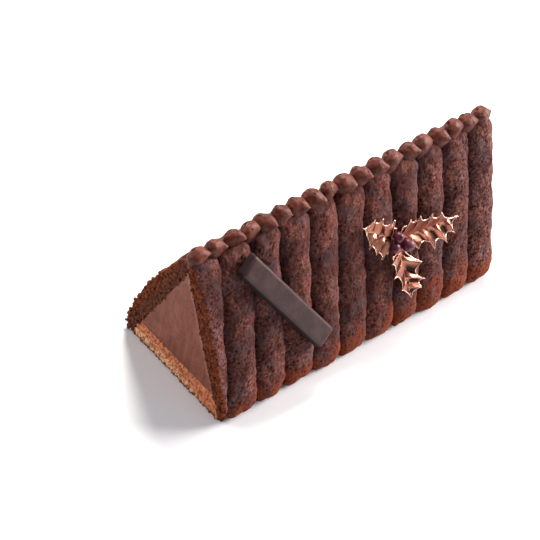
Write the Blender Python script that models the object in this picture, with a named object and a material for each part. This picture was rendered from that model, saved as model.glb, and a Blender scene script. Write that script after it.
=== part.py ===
"""Yule log cake: a prism of mousse on a sponge base, walled with chocolate sponge fingers.

Metres, +Z up. The log lies along X with its cut end at -X, and its decorated wall faces -Y.
While it is built, X runs from the first finger's free edge, Y from the ridge, Z from the plate.
The last step moves everything so that the origin is the middle of the underside.
"""
import bmesh
import bpy
import math
import random
from mathutils import Matrix, Vector

# --- driving dimensions -----------------------------------------------------------------------
FINGER_COUNT = 11               # sponge fingers along each wall
FINGER_PITCH = 0.0209           # width of one finger along the log
RIDGE_HEIGHT = 0.096            # where the two wall planes would meet above the plate
FOOT_HALF_WIDTH = 0.0422        # wall plane's distance from the middle at plate level
FINGER_RUN = 0.0083             # how far a finger drifts along the log from ridge to plate
SPONGE_BACKING = 0.0030         # sponge behind the bottom of a groove
RIDGE_CORE_RADIUS = 0.0010      # rounding of the mousse at the ridge
CREST_AT_RIDGE = 0.0045         # how far a finger stands out of its grooves, at the ridge
CREST_AT_BELLY = 0.0065         # and at its fullest, half way down
CREST_AT_FOOT = 0.0056          # and where its tip starts to round under
CREST_POWER = 2.4               # squareness of a finger's cross section, 2 is an ellipse
TIP_LENGTH = 0.0105             # length of a finger's rounded tip
TIP_LIFT = 0.0008               # most that a tip stops short of the plate

NEAR_CUT_X = 0.0099             # cut end at plate level
NEAR_CUT_LEAN = 0.0814          # the cut overhangs by this much for each unit of height
BASE_THICKNESS = 0.0155         # pale sponge layer under the mousse
BASE_CORNER = 0.0030            # crumbled lower edge of that layer

DOT_COUNT = 19
DOT_FIRST_X = 0.0072
DOT_PITCH = 0.01178
DOT_RADIUS = 0.0058
DOT_HEIGHT = 0.0080             # above the ridge
DOT_TAIL = 0.0030               # point drawn out as the piping bag is pulled away
DOT_TAIL_TURN = math.radians(-54.0)     # from the log's axis towards the front

BAR_LENGTH = 0.0846
BAR_WIDTH = 0.0152
BAR_THICKNESS = 0.0056
BAR_DRAFT = 0.0010              # each side leans in by this much, as in a mould
BAR_CHAMFER = 0.0010
BAR_CENTRE_X = 0.0556
BAR_CENTRE_DOWN = 0.0448        # distance down the wall from the ridge line
BAR_TURN = math.radians(54.0)   # from the log's axis towards the plate

LEAF_THICKNESS = 0.0011
LEAF_SPINES = 4                 # prickles along each side, besides the tip
LEAF_FOLD = 0.14                # slope of each half up from the middle rib
# stalk end along the log and down the wall, turn from the log's axis, rise of the tip,
# length and half width
LEAVES = (
    (0.1384, 0.0436, math.radians(217.7), math.radians(3.0), 0.0290, 0.0100),
    (0.1468, 0.0428, math.radians(6.0), math.radians(7.0), 0.0398, 0.0102),
    (0.1431, 0.0522, math.radians(80.5), math.radians(3.0), 0.0344, 0.0100),
)
# place along the log, distance down the wall, radius
BERRIES = (
    (0.1388, 0.0401, 0.0030),
    (0.1448, 0.0474, 0.0037),
    (0.1355, 0.0456, 0.0029),
)

GAP = 0.0003                    # clearance between touching pieces
SEED = 25

# --- sizes that follow from them --------------------------------------------------------------
SLOPE = math.atan2(RIDGE_HEIGHT, FOOT_HALF_WIDTH)
GROOVE_RADIUS = RIDGE_CORE_RADIUS + SPONGE_BACKING
ARC_CENTRE_Z = RIDGE_HEIGHT - GROOVE_RADIUS / math.cos(SLOPE)
WALL_TOP = GROOVE_RADIUS * math.tan(SLOPE)          # where the ridge's rounding ends
WALL_LENGTH = RIDGE_HEIGHT / math.sin(SLOPE)
CREST_MAX = CREST_AT_BELLY * 1.05
ON_WALL = CREST_MAX + 0.0004                        # underside of what lies on the fingers


def srgb(hex_code):
    """Linear colour of a hex code."""
    parts = [int(hex_code[i:i + 2], 16) / 255 for i in (0, 2, 4)]
    return [c / 12.92 if c <= 0.04045 else ((c + 0.055) / 1.055) ** 2.4 for c in parts] + [1.0]


def material(name, hex_code, roughness, metallic=0.0):
    """One Principled material for one kind of piece."""
    mat = bpy.data.materials.get(name) or bpy.data.materials.new(name)
    mat.use_nodes = True
    shader = mat.node_tree.nodes["Principled BSDF"]
    shader.inputs["Base Color"].default_value = srgb(hex_code)
    shader.inputs["Roughness"].default_value = roughness
    shader.inputs["Metallic"].default_value = metallic
    mat.diffuse_color = srgb(hex_code)
    return mat


def finish(name, bm, mat):
    """Turn a bmesh into a named, smooth-shaded object with outward faces."""
    bmesh.ops.recalc_face_normals(bm, faces=bm.faces)
    mesh = bpy.data.meshes.new(name)
    bm.to_mesh(mesh)
    bm.free()
    mesh.shade_smooth()
    mesh.set_sharp_from_angle(angle=math.radians(40))
    mesh.materials.append(mat)
    obj = bpy.data.objects.new(name, mesh)
    bpy.context.scene.collection.objects.link(obj)
    return obj


def near_cut(z):
    """X of the cut end at a height."""
    return NEAR_CUT_X - NEAR_CUT_LEAN * z


def drift(z):
    """How far a finger has drifted towards -X at a height."""
    return FINGER_RUN * (RIDGE_HEIGHT - z) / RIDGE_HEIGHT


def loft(rings):
    """Closed body through rings of points, with flat ends."""
    bm = bmesh.new()
    loops = [[bm.verts.new(point) for point in ring] for ring in rings]
    count = len(rings[0])
    for a, b in zip(loops, loops[1:]):
        for i in range(count):
            j = (i + 1) % count
            bm.faces.new((a[i], a[j], b[j], b[i]))
    bm.faces.new(reversed(loops[0]))
    bm.faces.new(loops[-1])
    return bm


# --- sponge fingers ---------------------------------------------------------------------------
def crest_height(down):
    """Finger's rise over its grooves, by distance down the wall."""
    belly = WALL_LENGTH * 0.5
    if down < belly:
        rise = math.sin(math.pi / 2 * down / belly)
        return CREST_AT_RIDGE + (CREST_AT_BELLY - CREST_AT_RIDGE) * rise
    fall = (down - belly) / belly
    return CREST_AT_BELLY + (CREST_AT_FOOT - CREST_AT_BELLY) * fall


def wall_stations(length):
    """(y, z, normal y, normal z, distance down) from the ridge to a finger's tip."""
    stations = []
    arc_steps = 3
    for i in range(arc_steps + 1):
        turn = SLOPE * i / arc_steps
        y = GROOVE_RADIUS * math.sin(turn)
        z = ARC_CENTRE_Z + GROOVE_RADIUS * math.cos(turn)
        stations.append((y, z, math.sin(turn), math.cos(turn), WALL_TOP * i / arc_steps))
    straight = [WALL_TOP + (length - TIP_LENGTH - WALL_TOP) * i / 4 for i in range(1, 5)]
    tip = [length - TIP_LENGTH * (1 - math.sin(math.pi / 2 * i / 4)) for i in range(1, 5)]
    for down in straight + tip:
        y = down * math.cos(SLOPE)
        z = RIDGE_HEIGHT - down * math.sin(SLOPE)
        stations.append((y, z, math.sin(SLOPE), math.cos(SLOPE), down))
    return stations


def finger_rings(left, right, length, fullness, side):
    """Cross sections of one finger; side is -1 for the front wall and 1 for the back."""
    rings = []
    middle = (left + right) / 2
    half = (right - left - GAP) / 2
    arc_points = 8
    for y, z, ny, nz, down in wall_stations(length):
        to_tip = min(1.0, (length - down) / TIP_LENGTH)
        rounding = math.sqrt(max(0.0, 1 - (1 - to_tip) ** 2))
        width = half * (0.62 + 0.38 * rounding)
        crest = crest_height(down) * fullness * max(0.06, rounding ** 1.3)      # a blunt tip
        x_middle = middle - drift(z)
        profile = [(width, -SPONGE_BACKING)]
        for i in range(arc_points + 1):
            angle = math.pi * i / arc_points
            across = math.copysign(abs(math.cos(angle)) ** (2 / CREST_POWER), math.cos(angle))
            rise = math.sin(angle) ** (2 / CREST_POWER) if 0 < i < arc_points else 0.0
            profile.append((width * across, crest * rise))
        profile.append((-width, -SPONGE_BACKING))
        ring = []
        for across, rise in profile:
            out = y + rise * ny + GAP / 2
            ring.append(Vector((x_middle + across, side * out, z + rise * nz)))
        rings.append(ring)
    return rings


def cut_near_end(bm):
    """Slice a piece off at the leaning cut end and close it with a flat face."""
    normal = Vector((-1.0, 0.0, -NEAR_CUT_LEAN)).normalized()
    geometry = bm.verts[:] + bm.edges[:] + bm.faces[:]
    bmesh.ops.bisect_plane(bm, geom=geometry, dist=1e-6, plane_co=Vector((NEAR_CUT_X, 0, 0)),
                           plane_no=normal, clear_outer=True)
    rim = [edge for edge in bm.edges if edge.is_boundary]
    bmesh.ops.contextual_create(bm, geom=rim)


def make_fingers():
    """Both walls of fingers. Each wall's grooves are a little uneven."""
    crust = material("chocolate_sponge", "4A2A26", 0.85)
    rng = random.Random(SEED)
    full_length = WALL_LENGTH - SPONGE_BACKING / math.tan(SLOPE)
    for side, wall in ((-1, "front"), (1, "back")):
        grooves = [i * FINGER_PITCH + rng.uniform(-0.0004, 0.0004) for i in range(FINGER_COUNT + 1)]
        grooves[-1] = FINGER_COUNT * FINGER_PITCH
        for i in range(FINGER_COUNT):
            length = full_length - rng.uniform(0.0, TIP_LIFT)
            fullness = rng.uniform(0.93, 1.03)
            bm = loft(finger_rings(grooves[i], grooves[i + 1], length, fullness, side))
            if i == 0:
                cut_near_end(bm)
            finish(f"finger_{wall}_{i + 1:02d}", bm, crust)


# --- filling and base -------------------------------------------------------------------------
def run_through(section):
    """Prism through the whole log, from the cut end to the last fingers' far edge."""
    far_edge = FINGER_COUNT * FINGER_PITCH - GAP
    near = [Vector((near_cut(z), y, z)) for y, z in section]
    far = [Vector((far_edge - drift(z), y, z)) for y, z in section]
    return loft([near, far])


def inner_half_width(z):
    """Distance from the middle to the inside of a wall, less the clearance."""
    inside = (SPONGE_BACKING + GAP) / math.sin(SLOPE)
    return (RIDGE_HEIGHT - z) / math.tan(SLOPE) + GAP / 2 - inside


def make_mousse():
    """Chocolate mousse core, rounded at the ridge."""
    bottom = BASE_THICKNESS + GAP
    half = inner_half_width(bottom)
    radius = RIDGE_CORE_RADIUS - GAP / 2
    apex = [(radius * math.sin(SLOPE * i / 2), ARC_CENTRE_Z - GAP + radius * math.cos(SLOPE * i / 2))
            for i in (-2, -1, 0, 1, 2)]
    section = [(-half, bottom)] + apex + [(half, bottom)]
    finish("mousse", run_through(section), material("chocolate_mousse", "84574A", 0.6))


def make_base():
    """Pale sponge layer that the log stands on."""
    top = inner_half_width(BASE_THICKNESS)
    shoulder = inner_half_width(BASE_CORNER)
    foot = inner_half_width(0.0) - BASE_CORNER * 0.6
    section = [(-top, BASE_THICKNESS), (top, BASE_THICKNESS), (shoulder, BASE_CORNER),
               (shoulder - BASE_CORNER * 0.2, BASE_CORNER * 0.3), (foot, 0.0), (-foot, 0.0),
               (BASE_CORNER * 0.2 - shoulder, BASE_CORNER * 0.3), (-shoulder, BASE_CORNER)]
    finish("base_sponge", run_through(section), material("plain_sponge", "C98F5E", 0.9))


# --- piped dots -------------------------------------------------------------------------------
def ridge_surface(y):
    """Height that clears every finger's crest, at a distance from the middle of the ridge."""
    outline = []
    for out, z, ny, nz, down in wall_stations(WALL_LENGTH):
        rise = crest_height(down) * 1.05 + GAP
        outline.append((out + rise * ny, z + rise * nz))
    for (y_a, z_a), (y_b, z_b) in zip(outline, outline[1:]):
        if abs(y) <= y_b:
            return z_a + (z_b - z_a) * (abs(y) - y_a) / (y_b - y_a)
    return 0.0


def dot_outline(angle, tail):
    """Rim of a dot round its centre: nearly round, with a point drawn out to the front."""
    along = min(DOT_RADIUS, (DOT_PITCH - GAP) / 2)
    pull = tail * max(0.0, math.cos(angle - DOT_TAIL_TURN)) ** 6
    return Vector((along * math.cos(angle) + pull * math.cos(DOT_TAIL_TURN),
                   DOT_RADIUS * math.sin(angle) + pull * math.sin(DOT_TAIL_TURN)))


def make_dot(index, x, tail, size, cream):
    """One piped dot that straddles the ridge, its point drawn out to the front."""
    sides = 12
    ridge = ridge_surface(0.0)
    underside = [(0.35, 0.0), (0.7, 0.0), (1.0, 0.0)]       # share of the rim, share of the height
    dome = [(1.0, 0.30), (0.86, 0.66), (0.5, 0.93)]
    bm = bmesh.new()
    rings = []
    for share, rise in underside + dome:
        ring = []
        for k in range(sides):
            spot = dot_outline(2 * math.pi * k / sides, tail) * share
            drop = ridge - ridge_surface(spot.y)
            if rise > 0:
                drop *= 0.55 * (1 - 0.7 * rise)             # the dome follows the ridge less and less
            ring.append(bm.verts.new((x + spot.x, spot.y, ridge - drop + DOT_HEIGHT * size * rise)))
        rings.append(ring)
    lowest = bm.verts.new((x, 0.0, ridge))
    highest = bm.verts.new((x, 0.0, ridge + DOT_HEIGHT * size))
    for a, b in zip(rings, rings[1:]):
        for k in range(sides):
            j = (k + 1) % sides
            bm.faces.new((a[k], a[j], b[j], b[k]))
    for k in range(sides):
        j = (k + 1) % sides
        bm.faces.new((lowest, rings[0][j], rings[0][k]))
        bm.faces.new((highest, rings[-1][k], rings[-1][j]))
    bmesh.ops.triangulate(bm, faces=bm.faces)
    finish(f"piped_dot_{index + 1:02d}", bm, cream)


def make_dots():
    """The row of dots along the ridge."""
    cream = material("chocolate_cream", "6E4034", 0.45)
    rng = random.Random(SEED + 1)
    for i in range(DOT_COUNT):
        tail = DOT_TAIL * rng.uniform(0.75, 1.05)
        make_dot(i, DOT_FIRST_X + i * DOT_PITCH, tail, rng.uniform(0.94, 1.04), cream)


# --- what lies on the front wall --------------------------------------------------------------
def wall_matrix(x, down, height, turn):
    """Frame on the front wall: its X turned from the log's axis towards the plate, its Z outward."""
    along = Vector((1.0, 0.0, 0.0))
    downward = Vector((0.0, -math.cos(SLOPE), -math.sin(SLOPE)))
    outward = Vector((0.0, -math.sin(SLOPE), math.cos(SLOPE)))
    place = Vector((x, 0.0, RIDGE_HEIGHT)) + downward * down + outward * height
    axis_x = along * math.cos(turn) + downward * math.sin(turn)
    axis_y = outward.cross(axis_x)
    frame = Matrix((axis_x, axis_y, outward)).transposed().to_4x4()
    return Matrix.Translation(place) @ frame


def make_bar():
    """Plain chocolate bar lying across the fingers."""
    bm = bmesh.new()
    bmesh.ops.create_cube(bm, size=1.0)
    bmesh.ops.scale(bm, vec=(BAR_LENGTH, BAR_WIDTH, BAR_THICKNESS), verts=bm.verts)
    for corner in bm.verts:
        if corner.co.z > 0:
            corner.co.x -= math.copysign(BAR_DRAFT, corner.co.x)
            corner.co.y -= math.copysign(BAR_DRAFT, corner.co.y)
    bar = finish("chocolate_bar", bm, material("dark_chocolate", "4B3534", 0.38))
    bevel = bar.modifiers.new("worn edge", "BEVEL")
    bevel.width = BAR_CHAMFER
    bevel.segments = 2
    height = ON_WALL + BAR_THICKNESS / 2
    bar.matrix_world = wall_matrix(BAR_CENTRE_X, BAR_CENTRE_DOWN, height, BAR_TURN)


def leaf_side(length, half_width):
    """(along, across) points of one side of a holly leaf: prickles with hollows between them."""
    points = [(0.0, half_width * 0.16)]
    step = length / (LEAF_SPINES + 0.8)
    for i in range(LEAF_SPINES):
        middle = (i + 0.5) / LEAF_SPINES
        reach = half_width * (0.55 + 0.45 * math.sin(math.pi * middle))
        points.append((step * (i + 0.32), reach * 0.60))
        points.append((step * (i + 0.80), reach))
    points.append((length - step * 0.55, half_width * 0.26))
    return points


def make_leaf(index, x, down, turn, rise, length, half_width, metal):
    """Holly leaf: a thin plate in two halves that slope up from its middle rib."""
    side = leaf_side(length, half_width)
    bm = bmesh.new()

    def layer(height):
        rib = [bm.verts.new((a, 0.0, height)) for a, b in side]
        left = [bm.verts.new((a, b, height + abs(b) * LEAF_FOLD)) for a, b in side]
        right = [bm.verts.new((a, -b, height + abs(b) * LEAF_FOLD)) for a, b in side]
        tip = bm.verts.new((length, 0.0, height))
        return rib, left, right, tip

    low = layer(0.0)
    high = layer(LEAF_THICKNESS)
    for rib, left, right, tip in (low, high):
        for i in range(len(side) - 1):
            bm.faces.new((rib[i], rib[i + 1], left[i + 1], left[i]))
            bm.faces.new((rib[i + 1], rib[i], right[i], right[i + 1]))
        bm.faces.new((rib[-1], tip, left[-1]))
        bm.faces.new((tip, rib[-1], right[-1]))
    rims = [list(reversed(left)) + [rib[0]] + right + [tip] for rib, left, right, tip in (low, high)]
    for i in range(len(rims[0])):
        j = (i + 1) % len(rims[0])
        bm.faces.new((rims[0][i], rims[0][j], rims[1][j], rims[1][i]))
    leaf = finish(f"holly_leaf_{index + 1}", bm, metal)
    leaf.matrix_world = wall_matrix(x, down, ON_WALL, turn) @ Matrix.Rotation(-rise, 4, "Y")


def make_berry(index, x, down, radius, red):
    """Glossy berry resting on the foot of the leaves."""
    bm = bmesh.new()
    bmesh.ops.create_uvsphere(bm, u_segments=10, v_segments=7, radius=radius)
    berry = finish(f"holly_berry_{index + 1}", bm, red)
    height = ON_WALL + LEAF_THICKNESS + 0.0009 + radius
    berry.matrix_world = wall_matrix(x, down, height, 0.0)


def make_holly():
    """Sprig of three leaves and three berries."""
    metal = material("copper_foil", "C98D76", 0.28, 0.9)
    red = material("berry_red", "3E1620", 0.2)
    for i, leaf in enumerate(LEAVES):
        make_leaf(i, *leaf, metal)
    for i, berry in enumerate(BERRIES):
        make_berry(i, *berry, red)


def centre_underside():
    """Move the whole cake so that the origin is the middle of its box's underside."""
    bpy.context.view_layer.update()
    graph = bpy.context.evaluated_depsgraph_get()
    objects = list(bpy.context.scene.objects)
    corners = []
    for obj in objects:
        shape = obj.evaluated_get(graph)
        corners += [shape.matrix_world @ vertex.co for vertex in shape.data.vertices]
    low = [min(corner[axis] for corner in corners) for axis in range(3)]
    high = [max(corner[axis] for corner in corners) for axis in range(3)]
    offset = Vector((-(low[0] + high[0]) / 2, -(low[1] + high[1]) / 2, -low[2]))
    for obj in objects:
        obj.location += offset


for leftover in list(bpy.data.objects):
    bpy.data.objects.remove(leftover)
make_base()
make_mousse()
make_fingers()
make_dots()
make_bar()
make_holly()
centre_underside()
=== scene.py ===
import math
import random
import time
import bmesh
import bpy
import numpy as np
from mathutils import Matrix, Vector, noise


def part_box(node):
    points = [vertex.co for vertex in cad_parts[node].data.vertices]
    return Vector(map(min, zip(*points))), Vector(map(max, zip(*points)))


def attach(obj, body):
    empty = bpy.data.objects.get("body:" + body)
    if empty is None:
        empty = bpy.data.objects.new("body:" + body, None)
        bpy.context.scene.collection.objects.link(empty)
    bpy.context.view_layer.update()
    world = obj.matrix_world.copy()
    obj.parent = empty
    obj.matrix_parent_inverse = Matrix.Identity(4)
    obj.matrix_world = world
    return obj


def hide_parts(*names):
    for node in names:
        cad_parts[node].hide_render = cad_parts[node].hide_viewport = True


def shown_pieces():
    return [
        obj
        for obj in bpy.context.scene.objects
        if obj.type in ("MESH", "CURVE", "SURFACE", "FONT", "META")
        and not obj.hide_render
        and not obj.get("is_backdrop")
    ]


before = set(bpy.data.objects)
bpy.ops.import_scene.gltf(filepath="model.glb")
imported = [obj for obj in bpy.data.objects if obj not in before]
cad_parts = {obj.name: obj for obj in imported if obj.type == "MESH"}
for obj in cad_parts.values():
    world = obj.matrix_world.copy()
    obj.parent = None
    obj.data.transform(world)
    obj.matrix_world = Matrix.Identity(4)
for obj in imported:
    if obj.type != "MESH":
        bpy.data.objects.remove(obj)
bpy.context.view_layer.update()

started = time.time()
mm = 0.001


def say(stage):
    print(f"[{time.time() - started:6.1f} s] {stage}")


# ---- the log's own measures, in metres; places along X come from the frame's boxes
log = {
    "fingers": 11,
    "pitch": 0.0209,
    "ridgeHeight": 0.096,       # where the two planes of grooves would meet
    "footHalfWidth": 0.0422,
    "fingerRun": 0.0083,        # a finger drifts this far along the log from ridge to plate
    "backing": 0.0030,          # sponge behind a groove in the front wall
    "backingMore": 0.0017,      # the back wall is this much thicker
    "grooveRadius": 0.0040,
    "cutX": 0.0099,             # cut end at the plate, from the first finger's free edge
    "cutLean": 0.0814,
    "baseThickness": 0.0155,
    "gap": 0.0003,
    "dots": 19,
}
slope = math.atan2(log["ridgeHeight"], log["footHalfWidth"])
slopeSin = math.sin(slope)
slopeCos = math.cos(slope)
wallLength = log["ridgeHeight"] / slopeSin
wallTop = log["grooveRadius"] * math.tan(slope)
arcCentreZ = log["ridgeHeight"] - log["grooveRadius"] / slopeCos
ridgePathZ = arcCentreZ + log["grooveRadius"]


def drift(z):
    return log["fingerRun"] * (log["ridgeHeight"] - z) / log["ridgeHeight"]


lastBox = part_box("finger_front_11")
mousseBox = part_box("mousse")
zeroX = lastBox[1].x - (log["fingers"] * log["pitch"] - log["gap"] / 2 - drift(ridgePathZ))
zeroY = (mousseBox[0].y + mousseBox[1].y) / 2


def cutAt(z):
    return zeroX + log["cutX"] - log["cutLean"] * z


def farAt(z):
    return zeroX + log["fingers"] * log["pitch"] - log["gap"] - drift(z)


# ---- small helpers
def srgb(code, alpha=1.0):
    parts = [int(code[i:i + 2], 16) / 255 for i in (0, 2, 4)]
    return [c / 12.92 if c <= 0.04045 else ((c + 0.055) / 1.055) ** 2.4 for c in parts] + [alpha]


def node(tree, kind, values=None, **settings):
    made = tree.nodes.new(kind)
    for key, value in settings.items():
        setattr(made, key, value)
    for key, value in (values or {}).items():
        if isinstance(value, bpy.types.NodeSocket):
            tree.links.new(value, made.inputs[key])
        else:
            made.inputs[key].default_value = value
    return made


def sums(tree, operation, *values):
    # one math node, its result ready to plug in
    return node(tree, "ShaderNodeMath", dict(enumerate(values)), operation=operation).outputs[0]


def vectors(tree, operation, *values, out="Vector"):
    return node(tree, "ShaderNodeVectorMath", dict(enumerate(values)), operation=operation).outputs[out]


def smooth(tree, value, low, high, lowTo=0.0, highTo=1.0):
    # a soft step of a value between two limits
    made = node(tree, "ShaderNodeMapRange", {"Value": value, "From Min": low, "From Max": high,
                "To Min": lowTo, "To Max": highTo}, interpolation_type="SMOOTHSTEP")
    return made.outputs["Result"]


def blend(tree, factor, a, b, how="MIX"):
    made = node(tree, "ShaderNodeMix", data_type="RGBA", blend_type=how)
    for index, value in ((0, factor), (6, a), (7, b)):
        if isinstance(value, bpy.types.NodeSocket):
            tree.links.new(value, made.inputs[index])
        else:
            made.inputs[index].default_value = value
    return made.outputs[2]


def speckle(tree, where, size, detail=2.0, roughness=0.5, distortion=0.0):
    # noise whose patches are about one size across, in metres
    made = node(tree, "ShaderNodeTexNoise", {"Vector": where, "Scale": 1.0 / size, "Detail": detail,
                "Roughness": roughness, "Distortion": distortion})
    return made.outputs["Fac"]


def cells(tree, where, size, feature="F1", randomness=1.0):
    made = node(tree, "ShaderNodeTexVoronoi", {"Vector": where, "Scale": 1.0 / size,
                "Randomness": randomness}, feature=feature)
    return made.outputs["Distance"]


def newMaterial(name, roughness, **constants):
    made = bpy.data.materials.new(name)
    made.use_nodes = True
    tree = made.node_tree
    shader = tree.nodes["Principled BSDF"]
    shader.inputs["Roughness"].default_value = roughness
    for key, value in constants.items():
        shader.inputs[key.replace("_", " ")].default_value = value
    where = node(tree, "ShaderNodeTexCoord").outputs["Object"]
    return made, tree, shader, where


def bumps(tree, shader, height, distance, strength=1.0):
    made = node(tree, "ShaderNodeBump", {"Height": height, "Distance": distance, "Strength": strength})
    tree.links.new(made.outputs["Normal"], shader.inputs["Normal"])


def meshPiece(name, points, faces, material=None):
    mesh = bpy.data.meshes.new(name)
    mesh.from_pydata([tuple(p) for p in points], [], faces)
    mesh.validate()
    mesh.shade_smooth()
    piece = bpy.data.objects.new(name, mesh)
    bpy.context.scene.collection.objects.link(piece)
    if material:
        mesh.materials.append(material)
    return piece


def outward(piece):
    shape = bmesh.new()
    shape.from_mesh(piece.data)
    bmesh.ops.remove_doubles(shape, verts=shape.verts, dist=1e-7)
    bmesh.ops.recalc_face_normals(shape, faces=shape.faces)
    shape.to_mesh(piece.data)
    shape.free()
    piece.data.shade_smooth()


def ringFaces(rings, count):
    # quads between rings of the same number of points, closed round, with a cap at each end
    faces = []
    for r in range(rings - 1):
        for i in range(count):
            j = (i + 1) % count
            faces.append((r * count + i, r * count + j, (r + 1) * count + j, (r + 1) * count + i))
    faces.append(tuple(reversed(range(count))))
    faces.append(tuple(range((rings - 1) * count, rings * count)))
    return faces


def newTree(name, inputs):
    tree = bpy.data.node_groups.new(name, "GeometryNodeTree")
    tree.interface.new_socket("Geometry", in_out="INPUT", socket_type="NodeSocketGeometry")
    for label, value in inputs.items():
        kind = "NodeSocketMaterial" if value is None else \
            "NodeSocketInt" if isinstance(value, int) else "NodeSocketFloat"
        socket = tree.interface.new_socket(label, in_out="INPUT", socket_type=kind)
        if value is not None:
            socket.default_value = value
    tree.interface.new_socket("Geometry", in_out="OUTPUT", socket_type="NodeSocketGeometry")
    entry = node(tree, "NodeGroupInput")
    return tree, entry.outputs


def endTree(tree, geometry, material):
    # every tree ends in realized instances with their material set
    real = node(tree, "GeometryNodeRealizeInstances", {"Geometry": geometry}).outputs[0]
    done = node(tree, "GeometryNodeSetMaterial", {"Geometry": real, "Material": material}).outputs[0]
    node(tree, "NodeGroupOutput", {"Geometry": done})


def runTree(piece, tree, values):
    modifier = piece.modifiers.new(tree.name, "NODES")
    modifier.node_group = tree
    for item in tree.interface.items_tree:
        if item.in_out == "INPUT" and item.name in values:
            modifier[item.identifier] = values[item.name]
    graph = bpy.context.evaluated_depsgraph_get()
    made = bpy.data.meshes.new_from_object(piece.evaluated_get(graph), depsgraph=graph,
                                           preserve_all_data_layers=True)
    piece.modifiers.remove(modifier)
    old = piece.data
    piece.data = made
    bpy.data.meshes.remove(old)
    made.name = piece.name
    made.shade_smooth()
    return piece


def place(piece, slot, *nodes):
    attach(piece, "root")
    if nodes:
        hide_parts(*nodes)


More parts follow.
